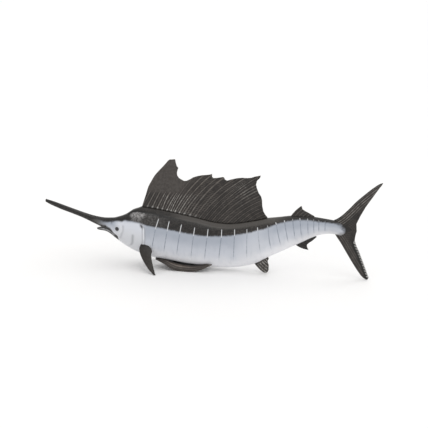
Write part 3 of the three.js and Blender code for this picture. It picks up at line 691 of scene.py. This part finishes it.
def lower_jaw(outer_y, outer_z, under_y, under_z, roof_y, roof_z):
    """Rings of the lower jaw: the arc below, from corner to corner, and the floor of the mouth back again."""
    corner_y, corner_z, keel_z = outer_y[0], outer_z[0], float(keel(MOUTH_END))
    rim = smooth([*JAW_RIM, [MOUTH_END, corner_z]])
    low = smooth([*JAW_KEEL, [MOUTH_END, keel_z]])
    half = smooth([*JAW_HALF_WIDTH, [MOUTH_END, corner_y]])
    at = np.concatenate([JAW_TIP + np.array([0, 0.06, 0.2, 0.45]),
                         np.linspace(JAW_TIP + JAW_ROUND, MOUTH_END, 46)])
    s = at[:, None]
    shrink = rounding(s - JAW_TIP, JAW_ROUND)
    arc_y = np.concatenate([[-corner_y], under_y, [corner_y]]) / corner_y
    arc_z = np.concatenate([[corner_z], under_z, [corner_z]])
    depth = (corner_z - arc_z) / (corner_z - keel_z)
    y = half(s) * arc_y * shrink
    z = rim(s) - (rim(s) - low(s)) * depth * shrink
    across = roof_y[::-1] / corner_y
    closing = ramp(s, JAW_CLOSING, MOUTH_END)
    hollow = JAW_HOLLOW * ramp(s, 33, 36) * (1 - closing)
    raised = (roof_z[::-1] - corner_z) * closing
    floor_y = half(s) * across * shrink
    floor_z = rim(s) + (raised - hollow * (1 - across**4)) * shrink
    return at, np.concatenate([y, floor_y], axis=1), np.concatenate([z, floor_z], axis=1)


def head_marks(s, y, z, is_jaw):
    """The head's details: how far each stands out in millimetres, its grey and its gleam."""
    flank = ramp(np.abs(y), 0.8, 2.0) * (1 - is_jaw)
    behind = s - gill_edge(z)
    gill = window(z, 8, 12, GILL_TOP - 0.4, GILL_TOP + 0.6)
    bar = hill(s - preopercle(z), 0.55) * window(z, 12.5, 14.5, 20, 21.6)
    crease = hill(s - cheek_line(z), 0.5) * window(z, 16, 18.5, 25, 26.5)
    offsets = ((s - at, z - level) for at, level in (GILL_NOTCH, NOSTRIL, EYE))
    (notch_s, notch_z), (nostril_s, nostril_z), (eye_s, eye_z) = offsets
    notch = hill(np.hypot(notch_s + 0.5 * notch_z, 0.7 * notch_z), 0.6)
    nostril = hill(np.hypot(nostril_s / 0.3, nostril_z / 0.75), 1.0)
    around = np.hypot(eye_s, eye_z)
    rear = 0.5 + 0.5 * np.clip((eye_s - 0.4 * eye_z) / np.maximum(around, 0.1), -1, 1)
    ring = hill(around - 2.6, 0.3) * rear

    # The gill's edge and the ring stand out, the rest is dented
    edge = 0.16 * hill(behind, 0.38) - 0.22 * hill(behind - 0.85, 0.26) - 0.16 * hill(behind + 0.85, 0.28)
    out = edge * gill + 0.1 * ring - 0.15 * hill(around - 2.15, 0.15)
    out -= 0.5 * notch + 0.22 * bar + 0.18 * crease + 0.4 * nostril
    beside = hill(behind - 0.75, 0.25) + hill(behind + 0.75, 0.25)
    shade = 0.4 * gill * beside + 1.2 * notch + 0.4 * bar + 0.25 * crease + 0.8 * nostril
    gleam = 0.8 * window(z, 17, 19, 25, 26) * hill(behind, 0.28) + 0.5 * ring
    return out * flank, np.clip(shade, 0, 1) * flank, np.clip(gleam, 0, 1) * flank


def dark_depth(s, y, z, is_jaw):
    """How far each point lies inside the dark paint in millimetres, and less than 0 outside it."""
    deep_inside, far_outside = 6.0, -9
    dark = np.maximum(z - band(s), np.where(s < SNOUT_EDGE[-1][0], snout_edge(s) - z, far_outside))
    dark = np.where((s < BAND[0][0]) | (s > BAND[-1][0]), deep_inside, dark)
    dark = np.where(s > TAIL_EDGE[0][0], np.maximum(dark, tail_edge(s) - z), dark)
    dark *= 1 - 0.72 * ramp(s, 175, 179)
    jaw_low = smooth([*JAW_KEEL, [MOUTH_END, 14.8]])(s)
    jaw_top = smooth([*JAW_RIM, [MOUTH_END, 17.8]])(s)
    share = (z - jaw_low) / (jaw_top - jaw_low)
    jaw_under = (mix(0.5, 1.05, ramp(s, 42.3, 45)) - share) * (jaw_top - jaw_low) * 5
    jaw_rim = (share - 0.93) * 9 * (s < 37)
    jaw_tip = (32.6 - s) * 2
    dark = np.where(is_jaw > 0, np.maximum(np.maximum(jaw_under, jaw_rim), jaw_tip), dark)
    roof = (s < MOUTH_END) & (s > 34) & (np.abs(y) < half_width(s) * 0.86)
    roof &= (z < mix(keel(s), back(s), 0.35)) & (is_jaw == 0)
    return np.where(roof, 2.5, dark)


def line_values(s, above):
    """The painted lines, counted along the body, with their half width in that count, and their ticks."""
    lean = np.where(above > 0, np.interp(s, LINES, LEAN_ABOVE), np.interp(s, LINES, LEAN_BELOW))
    along = s - lean * above
    places = [2 * LINES[0] - LINES[1], *LINES, 2 * LINES[-1] - LINES[-2]]
    phase = np.clip(np.interp(along, places, np.arange(-1, len(LINES) + 1)), -0.5, len(LINES) - 0.5)
    number = np.clip(np.round(phase), 0, len(LINES) - 1).astype(int)
    spacing = np.interp(along, LINES, np.gradient(LINES))
    return {"line": phase, "line_half": LINE_HALF / spacing, "tick": above / tick_length(s),
            "tick_part": np.array(TICK_STRENGTH)[number]}


def back_values(s, y, z, above):
    """The dark back: its tone, the lip by the sail in painted highlight, the crease below it in painted
    shade, the pale nape.
    """
    beside = np.abs(y)
    # Painted highlight: the lip beside the sail is painted a lighter brown where its rounded top faces the
    # light
    lip_end = LIP_FOOT + mix(1.0, 1.8, ramp(s, 92, 104))
    lip_low = back(s) - 3.3
    lip = fall(beside, LIP_FOOT - 0.1, lip_end) * ramp(z, lip_low, lip_low + 1.0)
    lip *= window(s, 50, 54, 136, 154) * mix(0.2, 1, ramp(s, 76, 88))
    over_crease = z - crease_line(s)
    # Painted shade: a black line along the crease under the lip
    crease = hill(over_crease, 0.4) * ramp(beside, 1.4, 2.0)
    crease *= window(s, 51.5, 53, 76, 86) * mix(1, 0.6, ramp(s, 60, 66))
    slant = 0.3 * (31.5 - z)
    nape = ramp(s - slant, 52.8, 55.8) * mix(fall(s + slant, 60.5, 63.8), fall(s, 66, 73), 0.2)
    nape *= mix(0.4, 1, ramp(z, 30.0, 32.6)) * ramp(z, 27.8, 29.4) * fall(over_crease, -0.5, -0.1)
    flecks = 0.15 * window(s, 58, 62, 69.5, 81) * ramp(above, 0.2, 1.2) * fall(over_crease, -1.0, -0.4)
    return {"back_tone": back_tone(s), "lip": lip, "crease": crease, "nape": np.maximum(nape, flecks)}


def body_attributes(s, y, z, is_jaw):
    """Values that the body's paint reads at each point, and out, how far the skin stands out."""
    out, shade, gleam = head_marks(s, y, z, is_jaw)
    above = z - band(s)
    height = np.clip((z - keel(s)) / (band(s) - keel(s)), -0.5, 1.5)
    dim = (0.15 * ramp(s, 138, 160) + 0.1 * fall(s, 60, 64)) * fall(height, 0.25, 0.7)
    dim += 0.08 * ramp(s, 168, 176)
    # The pale head reaches up to the band's edge, where its top carries a painted highlight
    pale = 0.85 * window(s, 42.5, 48, 61.5, 64.5) * fall(z, 27, 29.5) * (1 - is_jaw)
    return {"out": out, "dark": dark_depth(s, y, z, is_jaw), "height": height,
            "shade": np.clip(shade + dim, 0, 1), "gleam": gleam, "snout": ramp(s, 32, 41.5),
            "pale": np.maximum(pale, 0.35 * hill(s - 129, 6)),
            **line_values(s, above), **back_values(s, y, z, above)}


def build_body(material):
    """The body's skin, with each point moved out by its detail along the skin's normal."""
    flat, points, faces, is_jaw = body_skin()
    piece = make_object("body_skin", points, faces, body_attributes(*flat.T, is_jaw), material)
    mesh = piece.data
    count = len(mesh.vertices)
    normals, places, out = np.empty(3 * count), np.empty(3 * count), np.empty(count)
    mesh.vertex_normals.foreach_get("vector", normals)
    mesh.vertices.foreach_get("co", places)
    mesh.attributes["out"].data.foreach_get("value", out)
    moved = places.reshape(-1, 3) + normals.reshape(-1, 3) * (out * MM)[:, None]
    mesh.vertices.foreach_set("co", moved.reshape(-1))
    mesh.update()
    return piece


def edge_steps(count, length, radius=0.5):
    """0 to 1 in steps that crowd within radius millimetres of both ends."""
    near = radius / length * np.array([0, 0.04, 0.15, 0.35, 0.65])
    return np.concatenate([near, np.linspace(radius / length, 1 - radius / length, count), 1 - near[::-1]])


def pillow(u, v, width, length, half):
    """Half thickness that closes roundly at all four edges of a fin about width by length millimetres."""
    radius = np.maximum(half, 0.2)
    side, end = np.minimum(u, 1 - u) * width, np.minimum(v, 1 - v) * length
    return half * rounding(side, radius) * rounding(end, radius)


def through(points, t):
    """Points on a smooth curve through the given ones, for t from 0 to 1 by their order."""
    points = np.array(points, float)
    ends = np.concatenate([[2 * points[0] - points[1]], points, [2 * points[-1] - points[-2]]])
    at = np.clip(t, 0, 1) * (len(points) - 1)
    k = np.minimum(at.astype(int), len(points) - 2)
    f = (at - k)[..., None]
    a, b, c, d = (ends[k + j] for j in range(4))
    return 0.5 * (2 * b + (c - a) * f + (2 * a - 5 * b + 4 * c - d) * f**2 + (3 * b - a - 3 * c + d) * f**3)


def even_through(points, t):
    """As through, with t by length along the curve."""
    fine = np.linspace(0, 1, 200)
    line = through(points, fine)
    run = np.concatenate([[0], np.cumsum(np.linalg.norm(np.diff(line, axis=0), axis=1))])
    return through(points, np.interp(t, run / run[-1], fine))


def sway(points, t):
    """How far the smooth curve through the points is from the straight line between its ends."""
    first, last = np.array(points[0]), np.array(points[-1])
    return even_through(points, t) - (first + (last - first) * t[..., None])


def bowed(root, end, t, bow):
    """Points t of the way along rays that bow sideways by a share of their length."""
    (root_s, root_z), (end_s, end_z) = root, end
    bulge = bow * 4 * t * (1 - t)
    s = root_s + (end_s - root_s) * t - (end_z - root_z) * bulge
    return s, root_z + (end_z - root_z) * t + (end_s - root_s) * bulge


def nearest(s, z, line):
    """How far each point is from the line's nearest point, and how high that one is."""
    away = np.stack([np.hypot(s - a, z - b) for a, b in line])
    index = away.argmin(axis=0)
    return away.min(axis=0), line[index, 1]


def facing(surface):
    """Unit normals of a grid of points."""
    normal = np.cross(np.gradient(surface, axis=0), np.gradient(surface, axis=1))
    return normal / np.maximum(np.linalg.norm(normal, axis=-1, keepdims=True), 1e-12)


def along_margin(margin, ray):
    """Places (s, z) on a margin at the ray."""
    r, s, z = np.array(margin, float).T
    return np.interp(ray, r, s), np.interp(ray, r, z)


def ray_crest(ray, width):
    """1 on whole rays and 0 away from them; width is a share of the spacing."""
    return hill(np.abs((ray + 0.5) % 1 - 0.5), width)


def fin_object(name, centre, normal, half, attributes, material):
    """A closed fin: half its thickness laid off each side of its middle surface."""
    rows, columns = half.shape
    offset = normal * half[..., None]
    near, far = centre - offset, centre + offset
    points = np.concatenate([near.reshape(-1, 3), far.reshape(-1, 3)])
    faces = np.concatenate([grid_faces(rows, columns), grid_faces(rows, columns, rows * columns)[:, ::-1]])
    doubled = {k: np.tile(np.broadcast_to(v, half.shape).reshape(-1), 2) for k, v in attributes.items()}
    return make_object(name, place_mm(*points.T), faces, doubled, material)


def upright_fin(name, s, z, half, attributes, material, lean=0):
    """A closed fin in the middle plane, or off it by lean."""
    centre = np.stack([s, middle(s) + lean, z], axis=-1)
    return fin_object(name, centre, np.array([0.0, 1.0, 0.0]), half, attributes, material)


def build_sail(material):
    """The sail: raised rays that fan out from the groove in the back to the notched margin."""
    run, rise = SAIL_SIZE
    corners = np.array(SAIL_MARGIN)[:, 0] / SAIL_RAYS
    columns = np.unique(np.concatenate([edge_steps(400, run), corners]))
    u, v = np.meshgrid(columns, edge_steps(70, rise), indexing="ij")
    ray = u * SAIL_RAYS
    root_s = np.interp(ray, np.arange(SAIL_RAYS + 1), SAIL_ROOTS)
    root_z = back(root_s)
    end_s, end_z = along_margin(SAIL_MARGIN, ray)
    length = np.hypot(end_s - root_s, end_z - root_z)
    t = np.clip((v - SAIL_FOOT_SHARE) / (1 - SAIL_FOOT_SHARE), 0, 1)
    s, z = bowed((root_s, root_z), (end_s, end_z), t, SAIL_BOW * ramp(ray, 0, 3))
    lead = sway(SAIL_LEADING, t) * (np.clip(1 - ray / 4, 0, 1) ** 1.5)[..., None]
    s += lead[..., 0]
    z += lead[..., 1] - SAIL_FOOT_DEPTH * np.clip(1 - v / SAIL_FOOT_SHARE, 0, 1)

    above = z - root_z
    drawn = ray - 0.07 * fall(ray, 3, 7) * above
    plain = fall(ray, 5, 7.5) * ramp(z, 44.5, 47.5)
    shown = (1 - plain) * (1 - ramp(s, 129.5, 131.5) * ramp(z, 44, 47))
    crest = ray_crest(drawn, 0.09) * shown * ramp(t, 0, 0.03)
    between = ray_crest(drawn + 0.5, 0.06) * shown * 0.4
    half = mix(SAIL_FOOT_HALF, SAIL_EDGE_HALF, t) + 0.22 * crest + 0.1 * between
    half = pillow(u, v, run, np.maximum(length, 2), half)

    # Painted highlight: small white dots where the front rays leave the groove
    painted_highlight = 0.5 * ray_crest(drawn, 0.12) * hill(above - 0.7, 0.32) * window(ray, 0.6, 1.4, 9, 13)
    # Painted highlights: bright dashes along the front rays' crests, and glints on the sail's rear
    front = hill(drawn - 6.3, 2.2) * fall(z, 44, 47.5)
    glint_highlight = hill(s - 122.5, 4.5) * hill(z - 49.8, 4.0)
    low = 0.2 * ramp(ray, 7, 10) * fall(t, 0.25, 0.5)
    fine = np.clip(0.15 + low + 0.6 * front + glint_highlight, 0, 1) * shown
    # Painted shade: the sail is darker just above its foot, where it sits in the groove
    tone_with_foot_shade = mix(0.3, 0.5 + 0.3 * hill(drawn - 4.5, 3.8), ramp(above, 0.15, 0.5))
    values = {"ray": drawn, "reach": 1 - (1 - t) * length / 12, "along": t * length, "shown": shown,
              "bright": 0.1 + front + glint_highlight, "fine": fine, "smooth_part": plain, "painted_highlight": painted_highlight,
              "tone": mix(tone_with_foot_shade, 1.0, plain), "rungs": ramp(ray, 6, 9) * shown}
    return upright_fin("sail_membrane", s, z, half, values, material)


def build_median_fin(name, fin, material):
    """A small fin in the middle plane, rooted a little inside the body's outline."""
    run, rise = MEDIAN_SIZE
    u, v = np.meshgrid(edge_steps(90, 9), edge_steps(30, rise), indexing="ij")
    ray = u * fin["rays"]
    root_s = mix(*fin["root"], u)
    root = (root_s, smooth(fin["base"])(root_s) + fin["sink"])
    s, z = bowed(root, along_margin(fin["margin"], ray), v, fin["bow"])
    half = mix(*fin["half"], v) + 0.13 * ray_crest(ray, 0.12) * ramp(v, 0.15, 0.4)
    half = pillow(u, v, run, rise, half)
    values = {"ray": ray, "reach": v, "shown": ramp(v, 0.1, 0.3), "bright": fin["bright"], "fine": 0.3,
              "tone": fin["tone"]}
    return upright_fin(name, s, z, half, values, material, fin["lean"] * v)


def tooth_wave(z):
    """1 at the tips of the teeth and 0 between them."""
    return np.abs(((z - TOOTH_START) / TOOTH_PITCH) % 1 - 0.5) * 2


def build_tail_lobe(name, lobe, material):
    """A tail lobe: the first ray follows the leading edge, and the others fan out to the fork."""
    run, rise = LOBE_SIZE
    u, v = np.meshgrid(edge_steps(200, run), edge_steps(80, rise), indexing="ij")
    start = mix(np.array(lobe["edge"][0]), np.array(TAIL_ROOT_END), u[..., None])
    end = np.stack(along_margin(lobe["margin"], u * LOBE_SPAN), axis=-1)
    toothed = lobe["toothed"] * window(u, 0.09, 0.12, 0.76, 0.8)
    end[..., 0] += TOOTH_HEIGHT * (tooth_wave(end[..., 1]) - 0.5) * toothed
    surface = mix(start, end, v[..., None]) + sway(lobe["edge"], v) * ((1 - u) ** 2)[..., None]
    s, z = np.moveaxis(surface, -1, 0)
    ray = nearest(s, z, even_through(lobe["edge"], np.linspace(0, 1, 160)))[0] / RAY_PITCH + 0.5
    length = np.linalg.norm(end - start, axis=-1)
    half = mix(*TAIL_HALF, v) + 0.12 * ray_crest(ray, 0.15) * ramp(v, 0.05, 0.15)
    half = pillow(u, v, run, length, half)

    rim = np.stack(along_margin(lobe["margin"], np.linspace(0.7, 6.4, 200)), axis=-1)
    inward, level = nearest(s, z, rim)
    # Painted highlights on the teeth along the lower lobe's rear edge
    marks = fall(inward, 0.8, 1.2) * ramp(tooth_wave(level - 0.5 * inward), 0.5, 0.64)
    dark_band = lobe["toothed"] * fall(inward, 1.6, 2.6)
    ahead = fall(ray, 3.2, 5.5)
    tone = mix(0.38, lobe["tone"], ahead) * mix(0.45, 1, ramp(ray, 0.9, 1.4))
    values = {"ray": ray, "reach": 1 - (1 - v) * length / 10, "along": v * length,
              "shown": mix(0.35, 1, ahead) * ramp(v, 0.01, 0.06), "bright": ahead * lobe["bright"],
              "tone": mix(tone, 0.08, dark_band), "painted_highlight": 0.55 * lobe["toothed"] * marks,
              "rungs": ramp(v, 0.1, 0.2)}
    return upright_fin(name, s, z, half, values, material)


def build_paired_fin(name, fin, side, material):
    """A paired fin between its front and rear edges, full in the middle and thin at the edges."""
    run, rise = PAIRED_SIZE
    u, v = np.meshgrid(edge_steps(60, run), edge_steps(90, rise), indexing="ij")
    front, rear = through(fin["front"], v), through(fin["rear"], v)
    for edge in (front, rear):
        edge[..., 1] *= -side
    centre = mix(front, rear, u[..., None])
    width = np.linalg.norm(rear - front, axis=-1)
    arch = side * fin["arch"] * np.sin(np.pi * u) * np.clip(width / 5, 0, 1)
    centre += arch[..., None] * facing(centre)
    normal = facing(centre)
    ray = u * fin["rays"]
    full = mix(0.45, 1, np.sqrt(np.sin(np.pi * np.clip(u, 0, 1))))
    half = mix(*fin["half"], v) * full + 0.07 * ray_crest(ray, 0.2) * ramp(v, 0.15, 0.3)
    half = pillow(u, v, run, rise, half)
    # Painted highlight along the fin's ridge, and painted shade in the groove that the belly overhangs
    ridge = 1.8 * hill(u - 0.44, 0.08) * hill(v - 0.45, 0.14)
    groove = 0.96 * ramp(u, 0.54, 0.64) * window(v, 0.08, 0.2, 0.72, 0.9)
    values = {"ray": ray, "reach": v, "shown": ramp(v, 0.1, 0.3),
              "tone": fin["tone"] * (1 + fin["groove"] * (ridge - groove))}
    return fin_object(name, centre, normal, half, values, material)


def build_eye(name, side, material):
    """A shallow domed eye in the side of the head."""
    radial, turn = np.meshgrid(np.linspace(0, 1, 30), np.linspace(0, 2 * math.pi, 49)[:-1], indexing="ij")
    swing = radial * math.pi / 2
    reach = np.sin(swing) * EYE_RADIUS
    out = np.stack([reach * np.cos(turn), np.cos(swing) * EYE_DEPTH, reach * np.sin(turn)], axis=-1)
    inner = out * np.array([1, -1, 1])
    both = np.concatenate([out, inner[-2::-1]])
    both[..., 1] *= side
    x, y, z = np.moveaxis(both, -1, 0)
    cos, sin = math.cos(side * EYE_TURN), math.sin(side * EYE_TURN)
    centre_y = middle(EYE[0]) + side * (half_width(EYE[0]) - EYE_DEPTH + EYE_BULGE)
    placed = place_mm(EYE[0] + (x * cos - y * sin), centre_y + (x * sin + y * cos), EYE[1] + z)
    faces = grid_faces(*both.shape[:2], closed=True)
    value = np.concatenate([np.sin(swing), np.ones_like(radial[1:])])
    return make_object(name, placed.reshape(-1, 3), faces, {"radial": value}, material)


def build_figurine():
    """Every piece, hung from the root, with the solids that it replaces hidden."""
    fins = fin_plastic("fin_charcoal", 0.22, wear_and_sheen=0.42)
    sail = fin_plastic("sail_charcoal", 0.1, wear_and_sheen=0.95, edge_start=0.985)
    tail = fin_plastic("tail_charcoal", 0.22, wear_and_sheen=0.75)
    eyes = eye_paint()
    parts = [
        (build_body(painted_body()), "painted_body", ["bill", "lower_jaw", "head", "trunk", "tail_stalk"]),
        (build_sail(sail), "charcoal_plastic", ["sail"]),
    ]
    medians = {"second_dorsal": SECOND_DORSAL, "first_anal": FIRST_ANAL, "second_anal": SECOND_ANAL}
    for name, fin in medians.items():
        parts.append((build_median_fin(name, fin, fins), "charcoal_plastic", [f"{name}_fin"]))
    for name, lobe in (("upper", UPPER_LOBE), ("lower", LOWER_LOBE)):
        piece = build_tail_lobe(f"tail_lobe_{name}", lobe, tail)
        parts.append((piece, "charcoal_plastic", [f"caudal_fin_{name}"]))
    for side, word in ((-1, "left"), (1, "right")):
        for name, fin in (("pectoral", PECTORAL), ("pelvic", PELVIC)):
            piece = build_paired_fin(f"{name}_{word}", fin, side, fins)
            parts.append((piece, "charcoal_plastic", [f"{name}_fin_{word}"]))
        parts.append((build_eye(f"eyeball_{word}", side, eyes), "eye_gloss", [f"eye_{word}"]))
    for piece, slot, nodes in parts:
        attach(piece, "root")
        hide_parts(*nodes)


def build_stage():
    """A pale floor, and soft studio light from overhead."""
    mesh = bpy.data.meshes.new("floor")
    corners = [(x * FLOOR_REACH, y * FLOOR_REACH, 0) for x, y in ((-1, -1), (1, -1), (1, 1), (-1, 1))]
    mesh.from_pydata(corners, [], [(0, 1, 2, 3)])
    mesh.materials.append(Nodes("studio_floor").finish(FLOOR_WHITE, 0.6, Specular_IOR_Level=0.2))
    floor = add_object("floor", mesh)

    world = bpy.data.worlds.new("studio")
    world.use_nodes = True
    background = world.node_tree.nodes["Background"]
    background.inputs["Color"].default_value = (1.0, 1.0, 1.0, 1)
    background.inputs["Strength"].default_value = ROOM_LIGHT
    bpy.context.scene.world = world

    data = bpy.data.lights.new("overhead_softbox", "SUN")
    data.energy = SUN_ENERGY
    data.angle = SUN_SPREAD
    light = add_object("overhead_softbox", data)
    light.location = (0, 0, 1)
    light.rotation_mode = "QUATERNION"
    light.rotation_quaternion = SUN_DIRECTION.to_track_quat("-Z", "Y")


def build_camera():
    """A camera at the photo's angle, and plain colours."""
    level = Vector((math.sin(VIEW_AZIMUTH), -math.cos(VIEW_AZIMUTH), 0))
    backward = level * math.cos(VIEW_ELEVATION) + Vector((0, 0, math.sin(VIEW_ELEVATION)))
    data = bpy.data.cameras.new("camera")
    data.lens = LENS
    data.sensor_width = SENSOR_WIDTH
    data.clip_start, data.clip_end = 0.01, 20
    camera = add_object("camera", data)
    camera.location = VIEW_TARGET + backward * VIEW_DISTANCE
    camera.rotation_mode = "QUATERNION"
    camera.rotation_quaternion = (-backward).to_track_quat("-Z", "Y")
    bpy.context.scene.camera = camera
    bpy.context.scene.view_settings.view_transform = "Standard"


build_camera()
build_stage()
build_figurine()

bpy.context.view_layer.update()
